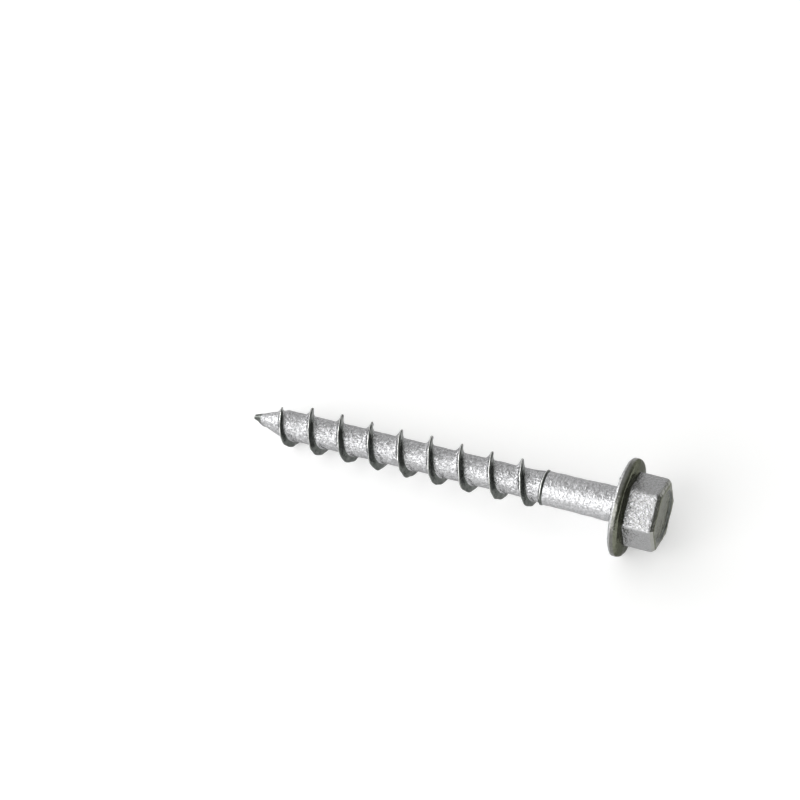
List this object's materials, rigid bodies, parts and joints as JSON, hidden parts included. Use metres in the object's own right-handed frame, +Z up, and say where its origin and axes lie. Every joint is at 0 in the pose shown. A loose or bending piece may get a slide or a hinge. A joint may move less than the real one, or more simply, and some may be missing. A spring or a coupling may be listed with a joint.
{
  "type": "construction screw",
  "caption": "Hexagon washer head construction screw with a ribbed flange, a plain shank and a coarse thread up to a gimlet point, for fixing steel connectors to timber.",
  "frame": {"origin": "centre of the bounding box's footprint, on the surface that the screw lies on", "axes": "+Z up from that surface; the screw's own axis lies in the XZ plane, with the head towards +X and the point towards -X, and leans down to the point by about 4.4 degrees"},
  "size_m": [0.0424, 0.0096, 0.0096],
  "materials": {
    "galvanised_steel": "rough mechanically galvanised zinc over steel: matt grey, finely lumpy, with bright grains"
  },
  "bodies": {
    "root": {"screw": "galvanised_steel"}
  },
  "joints": []
}
